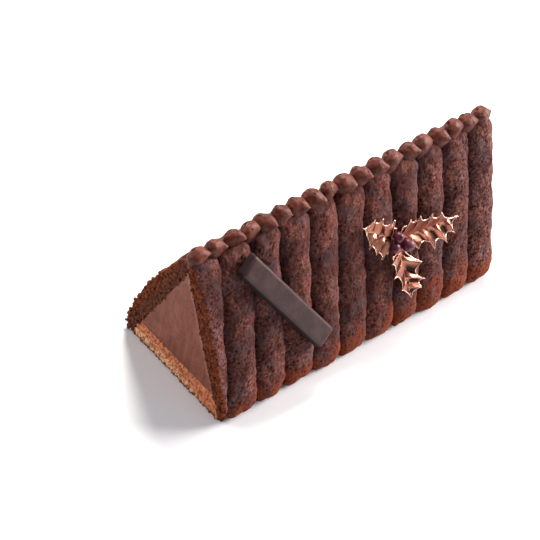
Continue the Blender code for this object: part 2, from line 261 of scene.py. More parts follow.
# ---- materials
def makeSpongeMaterial():
    # chocolate ladyfinger sponge, piped and baked: a dull, finely porous crust with painted shade in its pits and
    # paler grain tops, part sugar dust and part painted glint, rust brown where the thin tips baked through
    skin = {"dark": "2E1714", "body": "4A2828", "warm": "5E2F22", "dustAndGlint": "9C7A79",
            "tip": "622916", "tipLight": "803E23",
            "crumb": "5E2E1B", "crumbLight": "7A3F28", "crumbDark": "5A3325", "crumbOlive": "38261F"}
    made, tree, shader, where = newMaterial("baked chocolate sponge", 0.9, Specular_IOR_Level=0.12)
    parts = node(tree, "ShaderNodeSeparateXYZ", {"Vector": where}).outputs
    relief = node(tree, "ShaderNodeAttribute", attribute_name="relief").outputs["Fac"]
    cut = node(tree, "ShaderNodeAttribute", attribute_name="cut").outputs["Fac"]
    broad = speckle(tree, where, 14 * mm, 2.0)
    patch = speckle(tree, where, 4.5 * mm, 3.0, 0.55)
    grain = speckle(tree, where, 1.0 * mm, 2.0, 0.6)
    fine = speckle(tree, where, 0.55 * mm, 1.0, 0.6)
    other = speckle(tree, node(tree, "ShaderNodeMapping", {"Vector": where, "Location": (0.3, 0.1, 0.7)}).outputs[0],
                    0.8 * mm, 1.0)
    colour = blend(tree, smooth(tree, patch, 0.34, 0.70, 0.15, 0.85), srgb(skin["dark"]), srgb(skin["body"]))
    colour = blend(tree, smooth(tree, broad, 0.40, 0.64, 0.0, 0.7), colour, srgb(skin["warm"]))
    colour = blend(tree, smooth(tree, fine, 0.50, 0.66, 0.0, 0.6), colour, srgb("6E3A2C"))
    colour = blend(tree, smooth(tree, other, 0.50, 0.36, 0.0, 0.4), colour, srgb("301815"))
    # grain tops get a pale colour, part sugar dust and part painted glint; it is brighter towards both ends, most at
    # the far end, as painted light
    litEnds = sums(tree, "ADD", smooth(tree, parts["X"], 0.03, 0.11, 0.0, 0.8),
                smooth(tree, parts["X"], -0.02, -0.10, 0.0, 0.25))
    dustAndGlintAmount = sums(tree, "ADD", smooth(tree, broad, 0.40, 0.62, 0.12, 0.95), litEnds)
    colour = blend(tree, sums(tree, "MULTIPLY", smooth(tree, relief, 0.48, 0.78, 0.0, 0.75), dustAndGlintAmount), colour,
                   srgb(skin["dustAndGlint"]))
    colour = blend(tree, sums(tree, "MULTIPLY", smooth(tree, grain, 0.55, 0.74, 0.0, 0.38), dustAndGlintAmount), colour,
                   srgb(skin["dustAndGlint"]))
    haze = speckle(tree, where, 9 * mm, 2.0)
    colour = blend(tree, smooth(tree, haze, 0.47, 0.68, 0.0, 0.38), colour, srgb("4C4248"))
    # the tips are rust brown with a ragged edge that climbs and falls, higher towards the far end
    edge = sums(tree, "ADD", parts["Z"], sums(tree, "MULTIPLY", sums(tree, "SUBTRACT", patch, 0.5), 19 * mm))
    edge = sums(tree, "ADD", edge, sums(tree, "MULTIPLY", sums(tree, "SUBTRACT", broad, 0.5), 44 * mm))
    edge = sums(tree, "SUBTRACT", edge, sums(tree, "MULTIPLY", parts["X"], 0.045))
    tipColour = blend(tree, smooth(tree, grain, 0.35, 0.68), srgb(skin["tip"]), srgb(skin["tipLight"]))
    colour = blend(tree, smooth(tree, edge, 19 * mm, 7 * mm, 0.0, 0.9), colour, tipColour)
    # painted shade: pits, low in the relief, are darkened
    colour = blend(tree, smooth(tree, relief, 0.44, 0.22, 0.0, 0.75), colour, srgb("1A0D0A"))
    # cut face: rust crumb outside, dark crumb inside, a thin olive line beside the mousse in front
    acrossAbs = sums(tree, "ABSOLUTE", sums(tree, "SUBTRACT", parts["Y"], zeroY))
    outside = sums(tree, "ADD", sums(tree, "MULTIPLY", acrossAbs, slopeSin),
                   sums(tree, "MULTIPLY", sums(tree, "SUBTRACT", parts["Z"], log["ridgeHeight"]), slopeCos))
    wander = sums(tree, "MULTIPLY", sums(tree, "SUBTRACT", speckle(tree, where, 2.5 * mm), 0.5), 3.2 * mm)
    outside = sums(tree, "ADD", outside, wander)
    back = smooth(tree, parts["Y"], 0.0, 1 * mm)
    bandEdge = sums(tree, "ADD", -2.0 * mm, sums(tree, "MULTIPLY", back, 3.4 * mm))
    band = smooth(tree, sums(tree, "SUBTRACT", outside, bandEdge), -0.8 * mm, 0.9 * mm)
    crumbGrain = cells(tree, where, 0.9 * mm)
    rust = blend(tree, smooth(tree, crumbGrain, 0.15, 0.6), srgb(skin["crumbLight"]), srgb(skin["crumb"]))
    inner = blend(tree, back, srgb(skin["crumbOlive"]), srgb(skin["crumbDark"]))
    crumb = blend(tree, band, inner, rust)
    # painted shade in the crumb's hollows and a painted highlight on its raised crumbs
    crumb = blend(tree, smooth(tree, relief, 0.42, 0.2, 0.0, 0.8), crumb, srgb("2A140C"))
    crumb = blend(tree, smooth(tree, relief, 0.6, 0.85, 0.0, 0.4), crumb, srgb("A8683C"))
    colour = blend(tree, cut, colour, crumb)
    tree.links.new(colour, shader.inputs["Base Color"])
    height = sums(tree, "ADD", sums(tree, "MULTIPLY", grain, 0.7), sums(tree, "MULTIPLY", fine, 0.45))
    bumps(tree, shader, height, 0.35 * mm, 0.65)
    return made


def makeBaseMaterial():
    # plain genoise soaked brown from above: open golden crumb, its pores darkened as painted shade
    crumb = {"pale": "EABF9A", "gold": "CC8F62", "brown": "BC7052", "poreShade": "7E452E", "crust": "7C4630"}
    made, tree, shader, where = newMaterial("open golden sponge", 0.92, Specular_IOR_Level=0.25)
    parts = node(tree, "ShaderNodeSeparateXYZ", {"Vector": where}).outputs
    relief = node(tree, "ShaderNodeAttribute", attribute_name="relief").outputs["Fac"]
    patch = speckle(tree, where, 3.0 * mm, 3.0, 0.6)
    grain = speckle(tree, where, 0.8 * mm, 2.0, 0.6)
    pale = blend(tree, smooth(tree, grain, 0.35, 0.65), srgb(crumb["gold"]), srgb(crumb["pale"]))
    level = sums(tree, "ADD", parts["Z"], sums(tree, "MULTIPLY", sums(tree, "SUBTRACT", patch, 0.5), 7 * mm))
    soaked = blend(tree, smooth(tree, patch, 0.35, 0.65), srgb(crumb["brown"]), srgb("CB855D"))
    # the syrup ran down further on the front side and at the far end
    level = sums(tree, "ADD", level, smooth(tree, parts["Y"], 0.0, -38 * mm, 0.0, 7 * mm))
    level = sums(tree, "ADD", level, smooth(tree, parts["X"], 0.0, 60 * mm, 0.0, 5 * mm))
    colour = blend(tree, smooth(tree, level, 5.5 * mm, 9.5 * mm), pale, soaked)
    # painted shade: pores, low in the relief, are darkened
    colour = blend(tree, smooth(tree, relief, 0.45, 0.22, 0.0, 0.75), colour, srgb(crumb["poreShade"]))
    underside = smooth(tree, sums(tree, "ADD", parts["Z"],
                       sums(tree, "MULTIPLY", sums(tree, "SUBTRACT", patch, 0.5), 3 * mm)), 2.8 * mm, 1.4 * mm)
    colour = blend(tree, underside, colour, srgb(crumb["crust"]))
    tree.links.new(colour, shader.inputs["Base Color"])
    bumps(tree, shader, grain, 0.4 * mm, 0.8)
    return made


def makeMousseMaterial():
    # chilled milk chocolate mousse sliced with a knife: smooth, faintly streaked, fine bubbles
    mousse = {"body": "754335", "shade": "633629", "light": "855142", "bubble": "3C1F17"}
    made, tree, shader, where = newMaterial("sliced chocolate mousse", 0.62, Specular_IOR_Level=0.15,
                                            Subsurface_Weight=0.08, Subsurface_Scale=0.002)
    relief = node(tree, "ShaderNodeAttribute", attribute_name="relief").outputs["Fac"]
    stretched = node(tree, "ShaderNodeMapping", {"Vector": where, "Scale": (1.0, 1.0, 0.16)}).outputs[0]
    streak = speckle(tree, stretched, 2.6 * mm, 3.0, 0.6)
    cloud = speckle(tree, where, 11 * mm, 2.0)
    colour = blend(tree, smooth(tree, streak, 0.3, 0.7), srgb(mousse["shade"]), srgb(mousse["body"]))
    colour = blend(tree, smooth(tree, cloud, 0.45, 0.75, 0.0, 0.5), colour, srgb(mousse["light"]))
    # the knife smeared a paler line along the front wall
    parts = node(tree, "ShaderNodeSeparateXYZ", {"Vector": where}).outputs
    outside = sums(tree, "ADD", sums(tree, "MULTIPLY", sums(tree, "SUBTRACT", zeroY, parts["Y"]), slopeSin),
                   sums(tree, "MULTIPLY", sums(tree, "SUBTRACT", parts["Z"], log["ridgeHeight"]), slopeCos))
    outside = sums(tree, "ADD", outside, sums(tree, "MULTIPLY", sums(tree, "SUBTRACT", cloud, 0.5), 1.2 * mm))
    smear = smooth(tree, outside, -5.6 * mm, -4.0 * mm, 0.0, 0.5)
    colour = blend(tree, smear, colour, srgb("8C5A49"))
    # bubble holes and hollows low in the relief are darkened, painted shade; the bubbles also dent the bump
    bubble = cells(tree, where, 1.3 * mm)
    rare = speckle(tree, where, 4 * mm)
    dots = sums(tree, "MULTIPLY", smooth(tree, bubble, 0.22, 0.10), smooth(tree, rare, 0.5, 0.62))
    colour = blend(tree, sums(tree, "MULTIPLY", dots, 0.7), colour, srgb(mousse["bubble"]))
    colour = blend(tree, smooth(tree, relief, 0.40, 0.22, 0.0, 0.6), colour, srgb(mousse["bubble"]))
    tree.links.new(colour, shader.inputs["Base Color"])
    height = sums(tree, "SUBTRACT", sums(tree, "MULTIPLY", streak, 0.5), dots)
    bumps(tree, shader, height, 0.25 * mm, 0.6)
    return made


def makeCreamMaterial():
    # piped chocolate whipped cream: satin, with small burst air bubbles
    cream = {"body": "5F2C1F", "shade": "431B12", "light": "7A4231", "bubble": "2A100A"}
    made, tree, shader, where = newMaterial("piped chocolate cream", 0.5, Specular_IOR_Level=0.19,
                                            Subsurface_Weight=0.06, Subsurface_Scale=0.0015)
    patch = speckle(tree, where, 4.0 * mm, 2.0)
    bubble = cells(tree, where, 1.5 * mm)
    rare = speckle(tree, where, 2.2 * mm)
    dots = sums(tree, "MULTIPLY", smooth(tree, bubble, 0.20, 0.09), smooth(tree, rare, 0.5, 0.6))
    colour = blend(tree, smooth(tree, patch, 0.35, 0.7), srgb(cream["shade"]), srgb(cream["body"]))
    colour = blend(tree, smooth(tree, speckle(tree, where, 1.2 * mm), 0.55, 0.75, 0.0, 0.4), colour,
                   srgb(cream["light"]))
    # burst bubbles are darkened: painted shade in their holes
    colour = blend(tree, sums(tree, "MULTIPLY", dots, 0.8), colour, srgb(cream["bubble"]))
    tree.links.new(colour, shader.inputs["Base Color"])
    height = sums(tree, "SUBTRACT", sums(tree, "MULTIPLY", speckle(tree, where, 0.7 * mm, 2.0), 0.35), dots)
    bumps(tree, shader, height, 0.25 * mm, 0.5)
    return made


def makeBarMaterial():
    # moulded dark couverture, tempered: satin, a breath of grey bloom on top, sides painted darker as painted shade
    made, tree, shader, where = newMaterial("moulded dark chocolate", 0.38, Specular_IOR_Level=0.24)
    cloud = speckle(tree, where, 9 * mm, 3.0, 0.6)
    fine = speckle(tree, where, 0.7 * mm, 2.0)
    colour = blend(tree, smooth(tree, cloud, 0.35, 0.7), srgb("2C1617"), srgb("3C2525"))
    colour = blend(tree, smooth(tree, fine, 0.62, 0.8, 0.0, 0.3), colour, srgb("5C4844"))
    # painted shade: the sides are coloured darker than the top
    side = node(tree, "ShaderNodeAttribute", attribute_name="side").outputs["Fac"]
    colour = blend(tree, side, colour, srgb("1C0605"))
    tree.links.new(colour, shader.inputs["Base Color"])
    rough = node(tree, "ShaderNodeMapRange", {"Value": cloud, "From Min": 0.3, "From Max": 0.7,
                 "To Min": 0.34, "To Max": 0.44}).outputs[0]
    rough = sums(tree, "ADD", rough, sums(tree, "MULTIPLY", side, 0.4))
    tree.links.new(rough, shader.inputs["Roughness"])
    bumps(tree, shader, speckle(tree, where, 1.6 * mm, 3.0), 0.12 * mm, 0.5)
    return made


def makeFoilMaterial():
    # vacuum-metallised copper-coloured plastic: paler or deeper copper per half as painted reflection, pale rims as
    # painted highlight, dark bands as painted shade
    made, tree, shader, where = newMaterial("metallised copper film", 0.2, Metallic=1.0)
    tint = node(tree, "ShaderNodeAttribute", attribute_name="tint").outputs["Fac"]
    shade = node(tree, "ShaderNodeAttribute", attribute_name="shade").outputs["Fac"]
    cloud = speckle(tree, where, 5 * mm, 2.0)
    # painted reflection: each half is paler or deeper copper for what it mirrors
    depth = sums(tree, "ADD", tint, sums(tree, "MULTIPLY", sums(tree, "SUBTRACT", cloud, 0.5), 0.5))
    colour = blend(tree, smooth(tree, depth, 0.0, 1.0), srgb("AE7562"), srgb("6A3120"))
    # painted highlight: the rim beads, below zero, are pale
    colour = blend(tree, smooth(tree, tint, -0.2, -0.9), colour, srgb("D9B2A1"))
    # painted shade bands across the panels
    colour = blend(tree, shade, colour, srgb("1C0D09"))
    tree.links.new(colour, shader.inputs["Base Color"])
    rough = node(tree, "ShaderNodeMapRange", {"Value": cloud, "From Min": 0.3, "From Max": 0.7,
                 "To Min": 0.19, "To Max": 0.29}).outputs[0]
    tree.links.new(rough, shader.inputs["Roughness"])
    bumps(tree, shader, speckle(tree, where, 2.4 * mm, 2.0), 0.10 * mm, 0.3)
    return made


def makeBerryMaterial():
    # glossy lacquered berry: deep purple red under a clear coat
    made, tree, shader, where = newMaterial("lacquered berry", 0.4, Specular_IOR_Level=0.3)
    cloud = speckle(tree, where, 3 * mm, 2.0)
    colour = blend(tree, smooth(tree, cloud, 0.35, 0.7), srgb("3E0F1E"), srgb("5E2030"))
    tree.links.new(colour, shader.inputs["Base Color"])
    bumps(tree, shader, speckle(tree, where, 1.2 * mm, 2.0), 0.08 * mm, 0.4)
    return made


sponge = makeSpongeMaterial()
genoise = makeBaseMaterial()
mousseMaterial = makeMousseMaterial()
cream = makeCreamMaterial()
couverture = makeBarMaterial()
foil = makeFoilMaterial()
berryRed = makeBerryMaterial()
say("materials")


# ---- relief of baked and cut sponge, as a Geometry Nodes tree
crumbTree = {
    "Lump Size": 10 * mm, "Lump Depth": 3.0 * mm,
    "Ripple Size": 3.2 * mm, "Ripple Depth": 1.1 * mm,
    "Grain Size": 1.25 * mm, "Grain Depth": 0.6 * mm,
    "Pore Size": 2.2 * mm, "Pore Depth": 0.4 * mm,
    "Cut X": 0.0, "Cut Lean": 0.0, "Far X": 1.0, "Far Lean": 0.0,
    "Crumb Size": 2.2 * mm, "Crumb Depth": 2.5 * mm,
    "Lowest": 0.0002, "Seed": 0.0, "Material": None,
}


def makeReliefTree():
    tree, given = newTree("sponge relief", crumbTree)
    where = node(tree, "GeometryNodeInputPosition").outputs[0]
    normal = node(tree, "GeometryNodeInputNormal").outputs[0]
    shift = node(tree, "ShaderNodeCombineXYZ", {"X": given["Seed"], "Y": given["Seed"]}).outputs[0]
    spot = vectors(tree, "ADD", where, shift)
    parts = node(tree, "ShaderNodeSeparateXYZ", {"Vector": where}).outputs

    def bumpy(size, detail=1.0):
        scale = sums(tree, "DIVIDE", 1.0, given[size])
        made = node(tree, "ShaderNodeTexNoise", {"Vector": spot, "Scale": scale, "Detail": detail,
                    "Roughness": 0.6}).outputs[0]
        return made

    def cellular(size):
        scale = sums(tree, "DIVIDE", 1.0, given[size])
        return node(tree, "ShaderNodeTexVoronoi", {"Vector": spot, "Scale": scale}).outputs["Distance"]

    def times(value, depth):
        return sums(tree, "MULTIPLY", sums(tree, "SUBTRACT", value, 0.5), given[depth])

    # how much a point belongs to a cut face: 1 on the plane of the cut, 0 a little way in
    near = sums(tree, "SUBTRACT", parts["X"], sums(tree, "SUBTRACT", given["Cut X"],
                sums(tree, "MULTIPLY", parts["Z"], given["Cut Lean"])))
    far = sums(tree, "SUBTRACT", sums(tree, "ADD", given["Far X"],
               sums(tree, "MULTIPLY", parts["Z"], given["Far Lean"])), parts["X"])
    inward = sums(tree, "MINIMUM", near, far)
    ragged = sums(tree, "MULTIPLY", sums(tree, "SUBTRACT", bumpy("Crumb Size"), 0.5), 1.6 * mm)
    cut = smooth(tree, sums(tree, "ADD", inward, ragged), 1.5 * mm, 0.5 * mm)
    grainy = bumpy("Grain Size", 2.0)
    pores = smooth(tree, cellular("Pore Size"), 0.12, 0.42)
    crust = sums(tree, "ADD", times(bumpy("Lump Size"), "Lump Depth"),
                 times(bumpy("Ripple Size", 2.0), "Ripple Depth"))
    crust = sums(tree, "ADD", crust, times(grainy, "Grain Depth"))
    crust = sums(tree, "ADD", crust, times(pores, "Pore Depth"))
    crumbCells = smooth(tree, cellular("Crumb Size"), 0.05, 0.75, 1.0, 0.0)
    crumbMix = sums(tree, "ADD", sums(tree, "MULTIPLY", crumbCells, 0.55),
                    sums(tree, "MULTIPLY", grainy, 0.45))
    crumbs = times(crumbMix, "Crumb Depth")
    rise = node(tree, "ShaderNodeMix", {0: cut, 2: crust, 3: crumbs}).outputs[0]
    # kept for the colour, where low values paint shade in pits and high values paint glint on grain tops
    crustTone = sums(tree, "ADD", sums(tree, "MULTIPLY", grainy, 0.62), sums(tree, "MULTIPLY", pores, 0.38))
    crustTone = sums(tree, "SUBTRACT", crustTone, 0.16)
    tone = node(tree, "ShaderNodeMix", {0: cut, 2: crustTone, 3: crumbMix}).outputs[0]
    geometry = given["Geometry"]
    for label, value in (("relief", tone), ("cut", cut)):
        geometry = node(tree, "GeometryNodeStoreNamedAttribute", {"Geometry": geometry, "Name": label,
                        "Value": value}, data_type="FLOAT", domain="POINT").outputs[0]
    moved = vectors(tree, "ADD", where, vectors(tree, "SCALE", normal))
    tree.links.new(rise, moved.node.inputs[1].links[0].from_node.inputs["Scale"])
    split = node(tree, "ShaderNodeSeparateXYZ", {"Vector": moved}).outputs
    level = sums(tree, "MAXIMUM", split["Z"], given["Lowest"])
    settled = node(tree, "ShaderNodeCombineXYZ", {"X": split["X"], "Y": split["Y"], "Z": level}).outputs[0]
    geometry = node(tree, "GeometryNodeSetPosition", {"Geometry": geometry, "Position": settled}).outputs[0]
    endTree(tree, geometry, given["Material"])
    return tree


reliefTree = makeReliefTree()
say("relief tree")


# ---- sponge fingers
finger = {
    "crestAtRidge": 0.0045, "crestAtBelly": 0.0065, "crestAtFoot": 0.0056,
    "squareness": 2.15,
    "tipLength": 0.0105,
    "grooveWander": 0.9 * mm,       # how far a groove strays from straight
    "waist": 0.15,                  # share by which the crest swells and sinks along a finger
    "backBulge": 0.26,              # the cut finger at the back is plumper half way down
    "stepAlong": 0.56 * mm, "pointsAcross": 50,
    # cross creases, where the crust sank: finger, distance down the wall, depth, width
    "creases": ((2, 0.031, 0.9 * mm, 1.3 * mm), (2, 0.083, 0.6 * mm, 1.2 * mm), (3, 0.062, 0.5 * mm, 1.2 * mm),
                (4, 0.071, 0.7 * mm, 1.3 * mm), (5, 0.058, 0.5 * mm, 1.0 * mm), (8, 0.035, 0.4 * mm, 1.2 * mm),
                (2, 0.058, 0.6 * mm, 1.4 * mm), (1, 0.049, 0.5 * mm, 1.3 * mm), (10, 0.052, 0.5 * mm, 1.2 * mm)),
}


def crestHeight(down):
    belly = wallLength * 0.5
    if down < belly:
        rise = math.sin(math.pi / 2 * down / belly)
        return finger["crestAtRidge"] + (finger["crestAtBelly"] - finger["crestAtRidge"]) * rise
    fall = (down - belly) / belly
    return finger["crestAtBelly"] + (finger["crestAtFoot"] - finger["crestAtBelly"]) * fall


def wallStations(length):
    # (y, z, normal y, normal z, distance down) from the ridge to the tip
    stations = []
    arcSteps = 8
    for i in range(arcSteps + 1):
        turn = slope * i / arcSteps
        stations.append((log["grooveRadius"] * math.sin(turn), arcCentreZ + log["grooveRadius"] * math.cos(turn),
                         math.sin(turn), math.cos(turn), wallTop * i / arcSteps))
    straightEnd = length - finger["tipLength"]
    steps = round((straightEnd - wallTop) / finger["stepAlong"])
    downs = [wallTop + (straightEnd - wallTop) * i / steps for i in range(1, steps + 1)]
    tipSteps = 26
    downs += [length - finger["tipLength"] * (1 - math.sin(math.pi / 2 * i / tipSteps))
              for i in range(1, tipSteps + 1)]
    for down in downs:
        stations.append((down * slopeCos, log["ridgeHeight"] - down * slopeSin, slopeSin, slopeCos, down))
    return stations


def evenOutline(count):
    # points of a unit superellipse's upper half, evenly spaced along it for a finger's proportions
    angles = np.linspace(0, math.pi, 721)
    power = 2 / finger["squareness"]
    x = np.sign(np.cos(angles)) * np.abs(np.cos(angles)) ** power
    y = np.abs(np.sin(angles)) ** power
    run = np.concatenate(([0], np.cumsum(np.hypot(np.diff(x) * 10.3, np.diff(y) * 6.0))))
    even = np.linspace(0, run[-1], count)
    y[0] = y[-1] = 0
    return list(zip(np.interp(even, run, x), np.interp(even, run, y)))


def grooveStray(index, down, side):
    # both neighbours of a groove use the same stray, so they stay in touch
    if index == 0 or index == log["fingers"]:
        return 0.4 * finger["grooveWander"] * noise.noise(Vector((down / 0.014, index * 7.3, side * 3.1)))
    slow = noise.noise(Vector((down / 0.021, index * 7.3, side * 3.1)))
    quick = noise.noise(Vector((down / 0.006, index * 5.9, side * 8.7)))
    return finger["grooveWander"] * (slow + 0.45 * quick)


def buildFinger(name, index, left, right, length, side):
    outline = evenOutline(finger["pointsAcross"])
    rings = []
    backing = log["backing"] + (log["backingMore"] if side > 0 else 0.0)
    creases = [c for c in finger["creases"] if c[0] == index + 1] if side < 0 else []
    for y, z, ny, nz, down in wallStations(length):
        toTip = min(1.0, (length - down) / finger["tipLength"])
        rounding = math.sqrt(max(0.0, 1 - (1 - toTip) ** 2))
        a = left + grooveStray(index, down, side)
        b = right + grooveStray(index + 1, down, side)
        middle = (a + b) / 2
        half = (b - a) / 2 - log["gap"] * 0.2
        width = half * (0.62 + 0.38 * rounding)
        swell = 1 + finger["waist"] * noise.noise(Vector((down / 0.017, index * 11.7, side * 5.3)))
        lean = 0.10 * noise.noise(Vector((down / 0.023, index * 4.1, side * 9.9)))
        if index == 0 and side > 0:
            swell += finger["backBulge"] * math.exp(-((down - 0.056) / 0.018) ** 2)
        crest = crestHeight(down) * swell * max(0.05, rounding ** 1.3)
        middleX = middle - drift(z)
        profile = [(width, -backing)]
        for across, rise in outline:
            lift = crest * rise * (1 + lean * across)
            for _, at, depth, wide in creases:
                bent = down - at - 0.0025 * across ** 2 - 0.0016 * noise.noise(Vector((across * 2.2, at * 900, 0)))
                fade = 0.55 + 0.45 * noise.noise(Vector((across * 1.7, at * 500, 4.0)))
                lift -= depth * rise * fade * math.exp(-(bent / wide) ** 2)
            profile.append((width * across, lift))
        profile.append((-width, -backing))
        for across, rise in profile:
            out = y + rise * ny + log["gap"] / 2
            rings.append((middleX + across, zeroY + side * out, z + rise * nz))
    count = finger["pointsAcross"] + 2
    return rings, ringFaces(len(rings) // count, count)


def cutFace(piece):
    # slices a piece at the leaning cut and fills the cut with a fine grid for the crumb
    normal = Vector((-1.0, 0.0, -log["cutLean"])).normalized()
    through = Vector((cutAt(0), 0, 0))
    shape = bmesh.new()
    shape.from_mesh(piece.data)
    bmesh.ops.remove_doubles(shape, verts=shape.verts, dist=1e-7)
    bmesh.ops.bisect_plane(shape, geom=shape.verts[:] + shape.edges[:] + shape.faces[:], dist=1e-7,
                           plane_co=through, plane_no=normal, clear_outer=True)
    bmesh.ops.holes_fill(shape, edges=[e for e in shape.edges if e.is_boundary])
    shape.to_mesh(piece.data)
    shape.free()
    remesh = piece.modifiers.new("even crumb", "REMESH")
    remesh.mode = "VOXEL"
    remesh.voxel_size = 0.5 * mm
    graph = bpy.context.evaluated_depsgraph_get()
    made = bpy.data.meshes.new_from_object(piece.evaluated_get(graph), depsgraph=graph)
    piece.modifiers.remove(remesh)
    old = piece.data
    piece.data = made
    bpy.data.meshes.remove(old)
    made.name = piece.name


def makeFingers():
    for side, wall in ((-1, "front"), (1, "back")):
        left = zeroX
        for index in range(log["fingers"]):
            name = f"finger_{wall}_{index + 1:02d}"
            low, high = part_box(name)
            right = high.x + log["gap"] / 2 + drift(ridgePathZ)
            length = (log["ridgeHeight"] - log["backing"] * slopeCos - low.z) / slopeSin
            points, faces = buildFinger(name, index, left, right, length, side)
            piece = meshPiece("sponge_" + name, points, faces)
            outward(piece)
            if index == 0:
                cutFace(piece)
            runTree(piece, reliefTree, {"Seed": 0.37 * index + 5.0 * (side + 1), "Cut X": cutAt(0),
                                        "Cut Lean": log["cutLean"], "Material": sponge})
            place(piece, "chocolate_sponge", name)
            left = right
        say(f"{wall} wall of sponge fingers")


makeFingers()


# ---- mousse and base, both run through the whole log
def innerHalfWidth(z):
    inside = (log["backing"] + log["gap"]) / slopeSin
    return (log["ridgeHeight"] - z) / math.tan(slope) + log["gap"] / 2 - inside


def runThrough(name, halfWidths, top, bottom, acrossSteps, upSteps, nearEdge, farEdge):
    # a body whose two end faces are fine grids and whose long sides are coarse
    rows = [bottom + (top - bottom) * j / upSteps for j in range(upSteps + 1)]
    less = log["backingMore"] / slopeSin

    def across(z, share):
        half = halfWidths(z)
        return half * share - min(less, half * 0.5) * max(0.0, share)

    grid = [[(across(z, 2 * i / acrossSteps - 1), z) for i in range(acrossSteps + 1)] for z in rows]
    rim = [(0, i) for i in range(acrossSteps + 1)] + [(j, acrossSteps) for j in range(1, upSteps + 1)]
    rim += [(upSteps, i) for i in range(acrossSteps - 1, -1, -1)] + [(j, 0) for j in range(upSteps - 1, 0, -1)]
    offsets = [0.0, 0.5, 1.0, 1.6, 2.4, 3.4, 5.0, 9.0]      # millimetres in from each end
    shape = bmesh.new()

    def spot(row, column, share, inset):
        y, z = grid[row][column]
        a, b = nearEdge(z), farEdge(z)
        x = a + inset if share == 0 else b - inset
        return Vector((x, zeroY + y, z))

    def cap(share):
        verts = [[shape.verts.new(spot(j, i, share, 0.0)) for i in range(acrossSteps + 1)]
                 for j in range(upSteps + 1)]
        for j in range(upSteps):
            for i in range(acrossSteps):
                quad = (verts[j][i], verts[j][i + 1], verts[j + 1][i + 1], verts[j + 1][i])
                shape.faces.new(quad)
        return [verts[j][i] for j, i in rim]

    loops = [cap(0)]
    for inset in offsets[1:]:
        loops.append([shape.verts.new(spot(j, i, 0, inset * mm)) for j, i in rim])
    for inset in reversed(offsets[1:]):
        loops.append([shape.verts.new(spot(j, i, 1, inset * mm)) for j, i in rim])
    loops.append(cap(1))
    for a, b in zip(loops, loops[1:]):
        for k in range(len(rim)):
            n = (k + 1) % len(rim)
            shape.faces.new((a[k], a[n], b[n], b[k]))
    bmesh.ops.remove_doubles(shape, verts=shape.verts, dist=1e-7)
    bmesh.ops.recalc_face_normals(shape, faces=shape.faces)
    mesh = bpy.data.meshes.new(name)
    shape.to_mesh(mesh)
    shape.free()
    mesh.shade_smooth()
    piece = bpy.data.objects.new(name, mesh)
    bpy.context.scene.collection.objects.link(piece)
    return piece


def makeFilling():
    coreTop = mousseBox[1].z - 0.2 * mm
    bottom = log["baseThickness"] + log["gap"] * 0.4
    roundAt = arcCentreZ

    def mousseHalf(z):
        if z <= roundAt:
            return innerHalfWidth(z) + 0.2 * mm
        rest = max(0.0, (coreTop - z) / (coreTop - roundAt))
        return (innerHalfWidth(roundAt) + 0.2 * mm) * math.sqrt(rest)

    piece = runThrough("mousse_filling", mousseHalf, coreTop, bottom, 74, 100, cutAt, farAt)
    runTree(piece, reliefTree, {
        "Lump Size": 9 * mm, "Lump Depth": 0.35 * mm, "Ripple Size": 3 * mm, "Ripple Depth": 0.12 * mm,
        "Grain Depth": 0.04 * mm, "Pore Depth": 0.05 * mm, "Crumb Size": 2.6 * mm, "Crumb Depth": 0.22 * mm,
        "Cut X": cutAt(0) - 1.0, "Far X": 1.0, "Material": mousseMaterial})
    place(piece, "chocolate_mousse", "mousse")
    say("mousse")


def makeBase():
    def baseHalf(z):
        corner = max(0.0, 1 - z / (3.0 * mm))
        return innerHalfWidth(z) - 1.8 * mm * corner ** 2

    piece = runThrough("sponge_base", baseHalf, log["baseThickness"], 0.0, 130, 28, cutAt, farAt)
    runTree(piece, reliefTree, {
        "Lump Size": 6 * mm, "Lump Depth": 0.8 * mm, "Ripple Size": 2.6 * mm, "Ripple Depth": 0.6 * mm,
        "Cut X": cutAt(0), "Cut Lean": log["cutLean"], "Far X": farAt(0),
        "Far Lean": log["fingerRun"] / log["ridgeHeight"],
        "Crumb Size": 1.7 * mm, "Crumb Depth": 1.8 * mm, "Lowest": 0.0, "Seed": 2.0, "Material": genoise})
    place(piece, "plain_sponge", "base_sponge")
    say("sponge base")


makeFilling()
makeBase()


